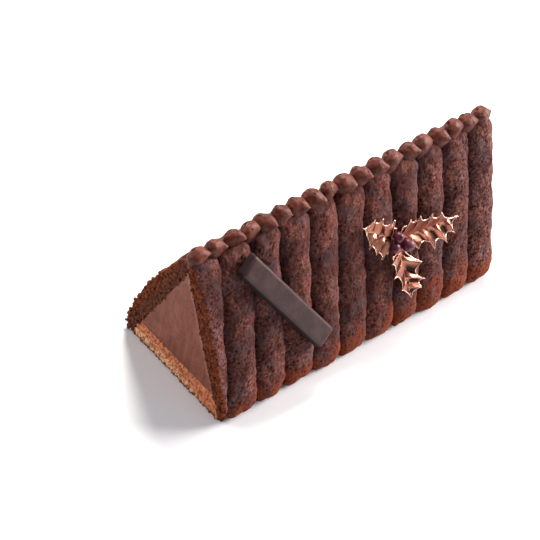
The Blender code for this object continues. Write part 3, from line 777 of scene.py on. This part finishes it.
# ---- crumbs that cling to the cut sponge, as a Geometry Nodes tree
def makeCrumbTree():
    tree, given = newTree("clinging crumbs", {
        "Crumbs per Square Metre": 350000.0, "Smallest": 0.30 * mm, "Largest": 1.35 * mm,
        "Lowest": 0.0, "Seed": 1, "Material": None})
    cut = node(tree, "GeometryNodeInputNamedAttribute", {"Name": "cut"}, data_type="FLOAT").outputs[0]
    chosen = node(tree, "FunctionNodeCompare", {0: cut, 1: 0.6}, data_type="FLOAT",
                  operation="GREATER_THAN").outputs[0]
    spots = node(tree, "GeometryNodeDistributePointsOnFaces", {"Mesh": given["Geometry"], "Selection": chosen,
                 "Density": given["Crumbs per Square Metre"], "Seed": given["Seed"]})
    turn = node(tree, "FunctionNodeRandomValue", {0: (0, 0, 0), 1: (6.283, 6.283, 6.283), "Seed": given["Seed"]},
                data_type="FLOAT_VECTOR").outputs[0]
    share = node(tree, "FunctionNodeRandomValue", {2: 0.0, 3: 1.0, "Seed": given["Seed"]},
                 data_type="FLOAT").outputs[1]
    few = sums(tree, "POWER", share, 2.2)       # most crumbs are small
    size = node(tree, "ShaderNodeMapRange", {"Value": few, "To Min": given["Smallest"],
                "To Max": given["Largest"]}).outputs[0]
    lump = node(tree, "GeometryNodeMeshIcoSphere", {"Radius": 1.0, "Subdivisions": 1}).outputs[0]
    crumbs = node(tree, "GeometryNodeInstanceOnPoints", {"Points": spots.outputs[0], "Instance": lump,
                  "Rotation": turn, "Scale": size}).outputs[0]
    crumbs = node(tree, "GeometryNodeRealizeInstances", {"Geometry": crumbs}).outputs[0]
    where = node(tree, "GeometryNodeInputPosition").outputs[0]
    rough = node(tree, "ShaderNodeTexNoise", {"Vector": where, "Scale": 1 / (0.9 * mm), "Detail": 1.0}).outputs[1]
    shift = vectors(tree, "MULTIPLY", vectors(tree, "SUBTRACT", rough, (0.5, 0.5, 0.5)), (0.9 * mm,) * 3)
    split = node(tree, "ShaderNodeSeparateXYZ", {"Vector": vectors(tree, "ADD", where, shift)}).outputs
    level = sums(tree, "MAXIMUM", split["Z"], given["Lowest"])
    spot = node(tree, "ShaderNodeCombineXYZ", {"X": split["X"], "Y": split["Y"], "Z": level}).outputs[0]
    tone = node(tree, "ShaderNodeTexNoise", {"Vector": where, "Scale": 1 / (1.2 * mm)}).outputs[0]
    for label, value in (("relief", tone), ("cut", 1.0)):
        crumbs = node(tree, "GeometryNodeStoreNamedAttribute", {"Geometry": crumbs, "Name": label,
                      "Value": value}, data_type="FLOAT", domain="POINT").outputs[0]
    crumbs = node(tree, "GeometryNodeSetPosition", {"Geometry": crumbs, "Position": spot}).outputs[0]
    endTree(tree, crumbs, given["Material"])
    return tree


def makeCrumbs():
    tree = makeCrumbTree()
    for source, slot, material, density, seed in (
            ("sponge_finger_front_01", "chocolate_sponge", sponge, 330000.0, 4),
            ("sponge_finger_back_01", "chocolate_sponge", sponge, 330000.0, 5),
            ("sponge_base", "plain_sponge", genoise, 170000.0, 6)):
        piece = bpy.data.objects.new("crumbs_" + source.replace("sponge_", ""), bpy.data.objects[source].data.copy())
        bpy.context.scene.collection.objects.link(piece)
        runTree(piece, tree, {"Crumbs per Square Metre": density, "Seed": seed, "Material": material})
        place(piece, slot)
        print(piece.name, len(piece.data.polygons), "faces")
    say("crumbs")


makeCrumbs()


# ---- piped dots along the ridge, as a Geometry Nodes tree
dot = {
    "firstX": 0.0062, "pitch": 0.01184, "sway": 1.3 * mm,
    "radiusAlong": 6.2 * mm, "radiusAcross": 4.9 * mm, "height": 5.3 * mm,
    "tail": 2.5 * mm, "tailTurn": math.radians(-40), "tailWidth": 1.0,     # the point is drawn out to the front
    "pit": 0.9 * mm, "pitDepth": 0.9 * mm, "pitTowards": (-0.36, 0.50, 0.78),
    "around": 84, "rings": 36,
}


def kissShape():
    # one kiss of cream: a plump ball, drawn off sideways into a short point, with a pit in its crown
    points = []
    crown = Vector(dot["pitTowards"]).normalized()
    for r in range(dot["rings"] + 1):
        turn = math.radians(-52 + 141.5 * r / dot["rings"])
        up = math.sin(turn)
        # the foot settles on the ridge: full along it, drawn in across it
        along, across = (math.cos(turn) if up > 0 else max(math.cos(turn), least) for least in (0.93, 0.55))
        for k in range(dot["around"]):
            angle = 2 * math.pi * k / dot["around"]
            off = abs((angle - dot["tailTurn"] + math.pi) % (2 * math.pi) - math.pi)
            towards = max(0.0, 1 - off / dot["tailWidth"]) ** 1.8 * max(0.0, 1 - abs(up - 0.12) / 0.8) ** 1.6
            way = Vector((along * math.cos(angle), across * math.sin(angle), up))
            spot = Vector((way.x * dot["radiusAlong"], way.y * dot["radiusAcross"], way.z * dot["height"]))
            spot.z *= 1 if up > 0 else 1.9
            spot += Vector((math.cos(angle), math.sin(angle), 0.1)) * dot["tail"] * towards
            near = (way - crown).length * dot["height"] / dot["pit"]
            spot -= way * dot["pitDepth"] * math.exp(-near ** 2)
            spot += way * 0.35 * mm * math.exp(-((near - 1.7) / 0.7) ** 2)       # lip round the pit
            points.append(tuple(spot))
    return points, ringFaces(dot["rings"] + 1, dot["around"])


def makeDotTree():
    tree, given = newTree("dots along the ridge", {
        "Count": log["dots"], "First X": 0.0, "Pitch": 0.01, "Ridge Y": 0.0, "Ridge Z": 0.0,
        "Turn": 0.5, "First Size": 0.84, "Even From": 7, "Size Spread": 0.06, "Sway": 0.0,
        "Dent Size": 6.0 * mm, "Dent Depth": 1.9 * mm, "Fold Size": 1.7 * mm,
        "Fold Depth": 0.22 * mm, "Bubble Size": 2.3 * mm, "Bubble Depth": 0.5 * mm, "Seed": 3, "Material": None})
    start = node(tree, "ShaderNodeCombineXYZ", {"X": given["First X"], "Y": given["Ridge Y"],
                 "Z": given["Ridge Z"]}).outputs[0]
    step = node(tree, "ShaderNodeCombineXYZ", {"X": given["Pitch"]}).outputs[0]
    line = node(tree, "GeometryNodeMeshLine", {"Count": given["Count"], "Start Location": start,
                "Offset": step}).outputs[0]

    def chance(low, high, salt):
        made = node(tree, "FunctionNodeRandomValue", {2: low, 3: high,
                    "Seed": sums(tree, "ADD", given["Seed"], salt)}, data_type="FLOAT")
        return made.outputs[1]

    # hand piping: the row opens and closes a little, and no dot stands quite straight
    count = node(tree, "GeometryNodeInputIndex").outputs[0]
    phase = sums(tree, "MULTIPLY", sums(tree, "SUBTRACT", count, 8.3), 2 * math.pi / 16)
    sway = sums(tree, "MULTIPLY", sums(tree, "COSINE", phase), sums(tree, "MULTIPLY", given["Sway"], -1.0))
    sway = sums(tree, "ADD", sway, sums(tree, "MULTIPLY", chance(-1.0, 1.0, 6.0), 0.6 * mm))
    shift = node(tree, "ShaderNodeCombineXYZ", {"X": sway}).outputs[0]
    line = node(tree, "GeometryNodeSetPosition", {"Geometry": line, "Offset": shift}).outputs[0]
    turn = node(tree, "ShaderNodeCombineXYZ", {
        "X": chance(-0.05, 0.05, 1.0), "Y": chance(-0.06, 0.06, 2.0),
        "Z": sums(tree, "MULTIPLY", chance(-1.0, 1.0, 3.0), given["Turn"])}).outputs[0]
    # the first few are lower and slimmer, before the hand found its measure
    even = node(tree, "ShaderNodeMapRange", {"Value": count, "From Max": given["Even From"],
                "To Min": given["First Size"]}).outputs["Result"]
    uneven = sums(tree, "MULTIPLY", chance(-1.0, 1.0, 4.0), given["Size Spread"])
    wide = sums(tree, "ADD", 1.0, uneven)
    deep = sums(tree, "ADD", even, uneven)
    tall = sums(tree, "ADD", even, sums(tree, "MULTIPLY", chance(-1.0, 1.0, 5.0), given["Size Spread"]))
    scale = node(tree, "ShaderNodeCombineXYZ", {"X": wide, "Y": deep, "Z": tall}).outputs[0]
    row = node(tree, "GeometryNodeInstanceOnPoints", {"Points": line, "Instance": given["Geometry"],
               "Rotation": turn, "Scale": scale}).outputs[0]
    row = node(tree, "GeometryNodeRealizeInstances", {"Geometry": row}).outputs[0]
    where = node(tree, "GeometryNodeInputPosition").outputs[0]
    normal = node(tree, "GeometryNodeInputNormal").outputs[0]
    rise = 0.0
    for size, depth in (("Dent Size", "Dent Depth"), ("Fold Size", "Fold Depth")):
        wave = node(tree, "ShaderNodeTexNoise", {"Vector": where, "Detail": 1.0,
                    "Scale": sums(tree, "DIVIDE", 1.0, given[size])}).outputs[0]
        rise = sums(tree, "ADD", rise, sums(tree, "MULTIPLY", sums(tree, "SUBTRACT", wave, 0.5), given[depth]))
    # a few burst bubbles
    pocks = node(tree, "ShaderNodeTexVoronoi", {"Vector": where,
                 "Scale": sums(tree, "DIVIDE", 1.0, given["Bubble Size"])}).outputs["Distance"]
    some = node(tree, "ShaderNodeTexNoise", {"Vector": where, "Scale": 1 / (6 * mm)}).outputs[0]
    burst = sums(tree, "MULTIPLY", smooth(tree, pocks, 0.26, 0.12), smooth(tree, some, 0.40, 0.50))
    rise = sums(tree, "SUBTRACT", rise, sums(tree, "MULTIPLY", burst, given["Bubble Depth"]))
    lifted = node(tree, "ShaderNodeVectorMath", {0: normal, "Scale": rise}, operation="SCALE").outputs[0]
    row = node(tree, "GeometryNodeStoreNamedAttribute", {"Geometry": row, "Name": "relief", "Value": burst},
               data_type="FLOAT", domain="POINT").outputs[0]
    row = node(tree, "GeometryNodeSetPosition", {"Geometry": row, "Offset": lifted}).outputs[0]
    endTree(tree, row, given["Material"])
    return tree


def makeDots():
    points, faces = kissShape()
    piece = meshPiece("piped_dots", points, faces)
    outward(piece)
    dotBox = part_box("piped_dot_10")
    seat = dotBox[1].z - dot["height"] - 0.2 * mm
    firstX = zeroX + dot["firstX"]
    runTree(piece, makeDotTree(), {"Count": log["dots"], "First X": firstX, "Pitch": dot["pitch"],
            "Sway": dot["sway"], "Ridge Y": zeroY, "Ridge Z": seat, "Material": cream})
    place(piece, "chocolate_cream", *[f"piped_dot_{i + 1:02d}" for i in range(log["dots"])])
    say("piped dots")


makeDots()


# ---- what lies on the front wall
def wallMatrix(x, down, height, turn):
    along = Vector((1.0, 0.0, 0.0))
    downward = Vector((0.0, -slopeCos, -slopeSin))
    outwards = Vector((0.0, -slopeSin, slopeCos))
    spot = Vector((zeroX + x, zeroY, log["ridgeHeight"])) + downward * down + outwards * height
    axisX = along * math.cos(turn) + downward * math.sin(turn)
    return Matrix.Translation(spot) @ Matrix((axisX, outwards.cross(axisX), outwards)).transposed().to_4x4()


bar = {
    "length": 0.0846, "width": 0.0152, "thickness": 0.0056,
    "draft": 1.5 * mm, "edge": 1.5 * mm, "edgeSteps": 6,
    "x": 0.0556, "down": 0.0448, "turn": math.radians(54),
    "lift": 0.0065 * 1.05 + 0.0004,
}


def makeBar():
    shape = bmesh.new()
    bmesh.ops.create_cube(shape, size=1.0)
    bmesh.ops.scale(shape, vec=(bar["length"], bar["width"], bar["thickness"]), verts=shape.verts)
    for corner in shape.verts:
        if corner.co.z > 0:
            corner.co.x -= math.copysign(bar["draft"], corner.co.x)
            corner.co.y -= math.copysign(bar["draft"], corner.co.y)
    bmesh.ops.bevel(shape, geom=shape.edges[:], offset=bar["edge"], segments=bar["edgeSteps"], profile=0.5,
                    affect="EDGES")
    # cuts across and along, so that the faces can carry a slight waviness
    for i in range(1, 40):
        x = bar["length"] * (i / 40 - 0.5)
        bmesh.ops.bisect_plane(shape, geom=shape.verts[:] + shape.edges[:] + shape.faces[:], dist=1e-6,
                               plane_co=(x, 0, 0), plane_no=(1, 0, 0))
    for i in range(1, 9):
        y = bar["width"] * (i / 9 - 0.5)
        bmesh.ops.bisect_plane(shape, geom=shape.verts[:] + shape.edges[:] + shape.faces[:], dist=1e-6,
                               plane_co=(0, y, 0), plane_no=(0, 1, 0))
    bmesh.ops.recalc_face_normals(shape, faces=shape.faces)
    for vert in shape.verts:
        wave = noise.noise(vert.co / 0.016 + Vector((3, 1, 7))) * 0.16 * mm
        wave += noise.noise(vert.co / 0.005) * 0.05 * mm
        vert.co += vert.normal * wave
    matrix = wallMatrix(bar["x"], bar["down"], bar["lift"] + bar["thickness"] / 2, bar["turn"])
    # sides below the top face get a darker colour, painted shade, and a duller finish
    shadedSides = [min(1.0, max(0.0, (bar["thickness"] / 2 - 0.7 * mm - vert.co.z) / (0.7 * mm))) for vert in shape.verts]
    bmesh.ops.transform(shape, matrix=matrix, verts=shape.verts)
    mesh = bpy.data.meshes.new("plain_bar")
    shape.to_mesh(mesh)
    shape.free()
    mesh.attributes.new("side", "FLOAT", "POINT").data.foreach_set("value", shadedSides)
    mesh.shade_smooth()
    mesh.materials.append(couverture)
    piece = bpy.data.objects.new("plain_bar", mesh)
    bpy.context.scene.collection.objects.link(piece)
    place(piece, "dark_chocolate", "chocolate_bar")
    say("chocolate bar")


makeBar()


# ---- holly: stalk end along the log and down the wall, turn from the log's axis, then for each edge
# the prickles as millimetres along the rib and out from it; the tint is how deep the copper looks on each half, a
# painted reflection, and the shade is a painted shade band in each panel
leaves = (
    {"x": 0.1382, "down": 0.0428, "turn": math.radians(216.4), "rise": math.radians(2), "length": 0.0295,
     "bend": 0.0010, "tint": (0.0, 0.4), "waves": (1.0, 0.45), "shade": (0.25, 0.2), "tipHollow": 0.62,
     "edges": (((2.5, 8.6), (6.0, 12.6), (12.4, 11.2), (19.6, 9.4)), ((2.8, 6.8), (7.5, 10.7), (17.3, 8.9), (24.0, 7.2)))},
    {"x": 0.1428, "down": 0.0442, "turn": math.radians(4.6), "rise": math.radians(4), "length": 0.0460,
     "bend": -0.0012, "tint": (1.0, 0.3), "waves": (0.3, 1.0), "shade": (0.45, 0.95), "tipHollow": 0.62,
     "edges": (((3.0, 7.0), (7.6, 10.0), (14.9, 10.1), (23.8, 9.2), (31.8, 6.9)),
               ((12.8, 9.3), (24.3, 13.0), (34.2, 12.2), (41.1, 8.3)))},
    {"x": 0.1430, "down": 0.0503, "turn": math.radians(86.5), "rise": math.radians(6.5), "length": 0.0315,
     "bend": 0.0008, "tint": (0.4, 0.5), "waves": (0.9, 0.4), "shade": (1.0, 0.35), "tipHollow": 0.3,
     "edges": (((13.6, 11.6), (24.4, 11.6), (28.4, 7.8)), ((1.5, 8.6), (5.0, 10.2), (14.2, 10.8), (23.8, 6.2)))},
)
leafForm = {
    "along": 14, "out": 12, "thickness": 0.35 * mm,
    "fold": 0.25, "wave": 1.9 * mm, "slant": 0.5, "leastStep": 0.9 * mm,
    "hollow": 3.7 * mm, "hollowSpan": 9.0 * mm, "hollowPower": 3.0,
    "rim": 0.38 * mm, "rimTip": 0.16 * mm, "rimSides": 8, "stalkHalf": 1.2 * mm,
}


def leafKnots(leaf, edge):
    # root of each vein on the rib, and the prickle where it ends
    knots = [(0.0, 0.0, leafForm["stalkHalf"])]
    for along, out in edge:
        root = max(along * mm - leafForm["slant"] * out * mm, knots[-1][0] + leafForm["leastStep"])
        knots.append((root, along * mm, out * mm))
    knots.append((leaf["length"], leaf["length"], 0.0))
    return knots


def leafSpot(leaf, wave, one, two, u, v):
    # a spot between two veins: u from one vein to the next, v from the rib to the edge
    (r0, a0, b0), (r1, a1, b1) = one, two
    chord = Vector((a1 - a0, b1 - b0))
    inward = Vector((chord.y, -chord.x)).normalized()
    depth = leafForm["hollow"] * min(1.15, chord.length / leafForm["hollowSpan"]) * (1 if r0 > 0 else 0.25)
    depth *= leaf["tipHollow"] if b1 == 0 else 1
    edge = Vector((a0, b0)) + chord * u + inward * depth * (1 - abs(2 * u - 1) ** leafForm["hollowPower"])
    edge.y = max(edge.y, 0.25 * mm * (1 - u) if a1 == leaf["length"] else 0.25 * mm)
    spot = Vector((r0 + (r1 - r0) * u, 0.0)).lerp(edge, v)
    # the two halves rise from the rib like an open book; veins stand up and the panels hang between
    broad = min(1.0, (r1 - r0) / (6 * mm)) * min(1.0, v / 0.3)
    lift = leafForm["fold"] * spot.y * (1 - spot.y / 0.05)
    lift += wave * (abs(2 * u - 1) ** 1.4 - 0.45) * broad
    lift += leaf["bend"] * (2 * spot.x / leaf["length"] - 1) ** 2
    return Vector((spot.x, spot.y, lift))


def buildLeaf(index, leaf):
    along, out, sides = leafForm["along"], leafForm["out"], leafForm["rimSides"]
    points, faces, paintedReflections, shades, found = [], [], [], [], {}

    def add(spot, tint, shade=0.0, shared=True):
        key = tuple(round(c, 7) for c in spot)
        if shared and key in found:
            return found[key]
        found[key] = len(points)
        points.append(spot)
        paintedReflections.append(tint)
        shades.append(shade)
        return len(points) - 1

    beads = []
    for half, sign in ((0, 1), (1, -1)):
        edge, tint, wave = leaf["edges"][half], leaf["tint"][half], leafForm["wave"] * leaf["waves"][half]
        knots = leafKnots(leaf, edge)
        # each panel gets a painted shade band just past its first vein
        paintedShadeBands = [leaf["shade"][half] * max(0.0, math.sin(math.pi * (i / along - 0.05) / 0.66)) ** 0.7
                if 0.05 < i / along < 0.71 else 0.0 for i in range(along + 1)]
        for one, two in zip(knots, knots[1:]):
            grid = [[leafSpot(leaf, wave, one, two, i / along, j / out) for j in range(out + 1)]
                    for i in range(along + 1)]
            for row in grid:
                for spot in row:
                    spot.y *= sign
            beads.append((-1.0, 1.0, [row[-1].copy() for row in grid]))
            if one[0] > 0:
                beads.append((0.0, 0.7, [spot.copy() for spot in grid[0]]))         # the vein itself
            for side in (0, 1):
                drop = Vector((0, 0, -leafForm["thickness"] * side))
                ids = [[add(spot + drop, tint, paintedShadeBands[i] * min(1.0, 3 * j / out)) for j, spot in enumerate(row)]
                       for i, row in enumerate(grid)]
                for i in range(along):
                    for j in range(out):
                        quad = (ids[i][j], ids[i + 1][j], ids[i + 1][j + 1], ids[i][j + 1])
                        if len(set(quad)) > 2:
                            quad = tuple(dict.fromkeys(quad))
                            faces.append(quad if (side == 0) == (sign > 0) else quad[::-1])
                if side == 0:
                    upper = [row[-1] for row in ids]
            lower = [row[-1] for row in ids]
            for i in range(along):
                quad = (upper[i], upper[i + 1], lower[i + 1], lower[i])
                faces.append(quad if sign > 0 else quad[::-1])
    # a rounded bead runs round every hollow, and a finer one along each vein; the rim beads are coloured pale, a
    # painted highlight
    for beadReflection, stout, line in beads:
        count = len(line)
        for i, spot in enumerate(line):
            ahead = (line[min(i + 1, count - 1)] - line[max(i - 1, 0)]).normalized()
            across = ahead.cross(Vector((0, 0, 1))).normalized()
            share = math.sin(math.pi * i / (count - 1)) ** 0.5
            radius = stout * (leafForm["rimTip"] + (leafForm["rim"] - leafForm["rimTip"]) * share)
            for k in range(sides):
                angle = 2 * math.pi * k / sides
                add(spot + across * radius * math.cos(angle) + Vector((0, 0, radius * math.sin(angle))), beadReflection,
                    shared=False)
        start = len(points) - count * sides
        faces += [tuple(start + v for v in face) for face in ringFaces(count, sides)]
    matrix = wallMatrix(leaf["x"], leaf["down"], bar["lift"] + 0.4 * mm, leaf["turn"])
    matrix = matrix @ Matrix.Rotation(-leaf["rise"], 4, "Y")
    piece = meshPiece(f"copper_leaf_{index + 1}", [matrix @ p for p in points], faces, foil)
    for label, values in (("tint", paintedReflections), ("shade", shades)):
        piece.data.attributes.new(label, "FLOAT", "POINT").data.foreach_set("value", values)
    outward(piece)
    print(piece.name, len(piece.data.polygons), "faces")
    place(piece, "copper_foil", f"holly_leaf_{index + 1}")


berry = {"dimple": 0.10, "uneven": 0.05, "rings": 28, "around": 40}


def buildBerry(index):
    low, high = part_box(f"holly_berry_{index + 1}")
    middle = (low + high) / 2
    radius = (high.x - low.x) / 2 * 1.16
    shape = bmesh.new()
    bmesh.ops.create_uvsphere(shape, u_segments=berry["around"], v_segments=berry["rings"], radius=1.0)
    turn = Matrix.Rotation(0.9 + index * 1.3, 4, Vector((0.4, -0.6, 0.3 * index + 0.2)).normalized())
    for vert in shape.verts:
        p = vert.co.copy()
        crown = max(0.0, p.z - 0.86) / 0.14
        scale = 1 - berry["dimple"] * crown ** 1.5
        scale += berry["uneven"] * noise.noise(p * 1.3 + Vector((index * 5.0, 0, 0)))
        vert.co = middle + (turn @ (p * scale)) * radius
    mesh = bpy.data.meshes.new(f"berry_{index + 1}")
    shape.to_mesh(mesh)
    shape.free()
    mesh.shade_smooth()
    mesh.materials.append(berryRed)
    piece = bpy.data.objects.new(f"berry_{index + 1}", mesh)
    bpy.context.scene.collection.objects.link(piece)
    place(piece, "berry_red", f"holly_berry_{index + 1}")


for i, leaf in enumerate(leaves):
    buildLeaf(i, leaf)
for i in range(3):
    buildBerry(i)
say("holly")


# ---- floor, light and camera
studio = {
    "aim": (-0.0302, 0.0127, 0.0306), "distance": 1.06, "azimuth": -52.075, "elevation": 45.454, "roll": 15.073,
    "lens": 125.69,
    "floor": "DADEE4", "floorSize": 6.0,
    "skyColour": "EDEFF3", "sky": 0.42,
}


def makeFloor():
    shape = bmesh.new()
    bmesh.ops.create_grid(shape, x_segments=2, y_segments=2, size=studio["floorSize"] / 2)
    mesh = bpy.data.meshes.new("studio_floor")
    shape.to_mesh(mesh)
    shape.free()
    paper, tree, shader, where = newMaterial("matt white sweep", 0.6)
    tone = blend(tree, speckle(tree, where, 0.4), srgb(studio["floor"]), srgb("DEE2E8"))
    tree.links.new(tone, shader.inputs["Base Color"])
    mesh.materials.append(paper)
    floor = bpy.data.objects.new("studio_floor", mesh)
    floor.location.z = -0.05 * mm
    bpy.context.scene.collection.objects.link(floor)
    floor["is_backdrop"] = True


def addLight(name, azimuth, elevation, distance, size, power, colour="FFFFFF"):
    # azimuth and elevation as for the camera: 0 looks along +Y, 90 along -X
    a, e = math.radians(azimuth), math.radians(elevation)
    data = bpy.data.lights.new(name, "AREA")
    data.shape = "DISK"
    data.size = size
    data.energy = power
    data.color = srgb(colour)[:3]
    lamp = bpy.data.objects.new(name, data)
    back = Vector((math.sin(a) * math.cos(e), -math.cos(a) * math.cos(e), math.sin(e)))
    lamp.location = back * distance + Vector((0, 0, 0.05))
    lamp.rotation_mode = "QUATERNION"
    lamp.rotation_quaternion = (-back).to_track_quat("-Z", "Y")
    bpy.context.scene.collection.objects.link(lamp)


def makeStudio():
    makeFloor()
    addLight("key softbox", 138, 54, 2.6, 0.9, 118, "FFF6EC")
    addLight("back left softbox", -128, 33, 2.6, 1.4, 42, "FFF8F4")
    addLight("side softbox", 72, 25, 2.6, 1.5, 165, "FFF4EE")
    addLight("front fill", 10, 48, 2.0, 1.0, 2)
    addLight("pale card", 10, 25, 1.1, 0.36, 0.32, "FFF6F0")
    world = bpy.data.worlds.new("pale studio")
    world.use_nodes = True
    tree = world.node_tree
    # a room that is pale overhead and dim towards the horizon
    sky = node(tree, "ShaderNodeTexCoord").outputs["Generated"]
    height = node(tree, "ShaderNodeSeparateXYZ", {"Vector": sky}).outputs["Z"]
    room = blend(tree, smooth(tree, height, 0.25, 0.9), srgb("5A5A5E"), srgb(studio["skyColour"]))
    background = tree.nodes["Background"]
    tree.links.new(room, background.inputs["Color"])
    background.inputs["Strength"].default_value = studio["sky"]
    bpy.context.scene.world = world
    bpy.context.scene.view_settings.view_transform = "Standard"


def makeCamera():
    a, e = math.radians(studio["azimuth"]), math.radians(studio["elevation"])
    back = Vector((math.sin(a) * math.cos(e), -math.cos(a) * math.cos(e), math.sin(e)))
    data = bpy.data.cameras.new("camera")
    data.lens = studio["lens"]
    data.clip_start, data.clip_end = 0.05, 20.0
    camera = bpy.data.objects.new("camera", data)
    camera.location = Vector(studio["aim"]) + back * studio["distance"]
    camera.rotation_mode = "QUATERNION"
    level = (-back).to_track_quat("-Z", "Y")
    camera.rotation_quaternion = Matrix.Rotation(math.radians(studio["roll"]), 3, back).to_quaternion() @ level
    bpy.context.scene.collection.objects.link(camera)
    bpy.context.scene.camera = camera


makeStudio()
makeCamera()
bpy.context.view_layer.update()
triangles = {o.name: sum(len(p.vertices) - 2 for p in o.data.polygons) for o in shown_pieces() if o.type == "MESH"}
print("triangles", sum(triangles.values()), "most in one piece", max(triangles.values()))
say("scene ready")
